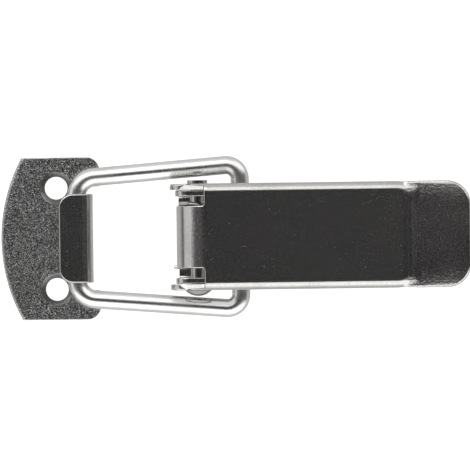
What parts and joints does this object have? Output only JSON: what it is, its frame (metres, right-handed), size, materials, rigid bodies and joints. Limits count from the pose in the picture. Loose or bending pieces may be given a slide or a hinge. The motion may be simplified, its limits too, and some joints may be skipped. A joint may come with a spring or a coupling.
{
  "type": "toggle bolt latch",
  "caption": "Sheet-metal toggle latch: an over-centre lever draws a bent wire bail that holds a hooked catch plate.",
  "frame": {"origin": "centre of the closed latch's outline, on the mounting plane", "axes": "+X along the latch from the catch plate to the lever's tab, +Y across it, +Z out of the mounting plane"},
  "size_m": [0.072, 0.025, 0.0111],
  "materials": {
    "base_plate": "nickel-plated sheet, satin",
    "pivot_rivet": "nickel-plated, bright",
    "torsion_spring": "plated spring wire",
    "lever": "nickel-plated sheet, polished with a fine orange peel",
    "bail": "nickel-plated wire, bright",
    "catch_plate": "nickel-plated sheet, grained face and polished hook"
  },
  "bodies": {
    "base": {"base_plate": "base_plate", "pivot_rivet": "pivot_rivet", "torsion_spring": "torsion_spring"},
    "lever": {"lever": "lever"},
    "bail": {"bail": "bail"},
    "catch": {"catch_plate": "catch_plate"}
  },
  "joints": [
    {"name": "lever_pivot", "type": "hinge", "parent": "base", "child": "lever", "pos_m": [-0.0057, 0, 0.0048], "axis": [0, -1, 0], "range_deg": [0, 130], "stiffness_Nm_per_rad": 0.004, "springref_deg": -57.3, "deforming": ["torsion_spring"]},
    {"name": "bail_pivot", "type": "hinge", "parent": "lever", "child": "bail", "pos_m": [0.00084, 0, 0.0037], "axis": [0, -1, 0], "range_deg": [-130, 0]},
    {"name": "catch_release", "type": "slide", "parent": "bail", "child": "catch", "axis": [1, 0, 0], "range_m": [0, 0.005]}
  ],
  "couplings": [
    {"joint": "bail_pivot", "follows": "lever_pivot", "ratio": -1}
  ]
}
